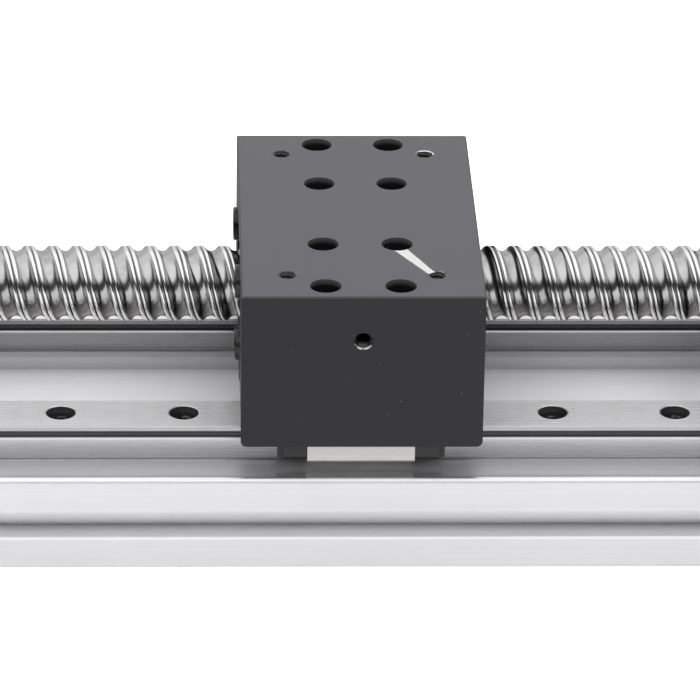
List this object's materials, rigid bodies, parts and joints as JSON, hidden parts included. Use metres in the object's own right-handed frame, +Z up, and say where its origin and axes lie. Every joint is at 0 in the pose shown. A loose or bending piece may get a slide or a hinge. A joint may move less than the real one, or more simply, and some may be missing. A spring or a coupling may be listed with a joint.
{
  "type": "manual linear stage",
  "caption": "Hand-driven ball-screw linear stage: black carriage on two profile rails over a grooved aluminium base, with end plates and a crank handwheel.",
  "frame": {"origin": "centre of the face that the base rests on", "axes": "+X along the travel towards the handwheel, +Z up from the base to the carriage"},
  "size_m": [0.2843, 0.0804, 0.0764],
  "materials": {
    "base_aluminium": "fine-drawn extrusion, clear anodised",
    "rail_steel": "ground along its length",
    "block_steel": "ground stainless",
    "screw_steel": "polished rolled thread",
    "nut_steel": "ground",
    "bearing_steel": "ground, bright",
    "spring_steel": "phosphated",
    "bolt_steel": "zinc plated",
    "black_anodised": "fine-milled, black anodised",
    "black_screw": "black oxide",
    "black_plastic": "moulded",
    "seal_rubber": "matt",
    "wheel_aluminium": "turned",
    "grip_plastic": "moulded"
  },
  "bodies": {
    "base": {"base_profile": "base_aluminium", "rail_front": "rail_steel", "rail_rear": "rail_steel", "drive_end_plate": "black_anodised", "tail_end_plate": "black_anodised", "bumpers": "seal_rubber", "bearing_outer_rings": "bearing_steel", "bearing_cover": "black_anodised"},
    "carriage": {"carriage_block": "black_anodised", "rail_block_front": "block_steel", "rail_block_rear": "block_steel", "block_end_caps": "black_plastic", "block_end_seals": "seal_rubber", "ball_nut": "nut_steel"},
    "screw": {"ball_screw": "screw_steel", "bearing_inner_rings": "bearing_steel", "spacer_sleeve": "bearing_steel", "lock_nut": "nut_steel", "handwheel": "wheel_aluminium", "grip_bolt": "bolt_steel"},
    "grip": {"crank_grip": "grip_plastic"}
  },
  "joints": [
    {"name": "screw_turn", "type": "hinge", "parent": "base", "child": "screw", "pos_m": [0, 0, 0.0449], "axis": [-1, 0, 0], "range_deg": [-2631.6, 1868.4]},
    {"name": "carriage_slide", "type": "slide", "parent": "base", "child": "carriage", "axis": [1, 0, 0], "range_m": [-0.0731, 0.0519]},
    {"name": "grip_spin", "type": "hinge", "parent": "screw", "child": "grip", "pos_m": [0.15, 0, 0.0264], "axis": [1, 0, 0], "continuous": true}
  ],
  "couplings": [
    {"joint": "carriage_slide", "follows": "screw_turn", "m_per_rad": 0.0015915}
  ]
}
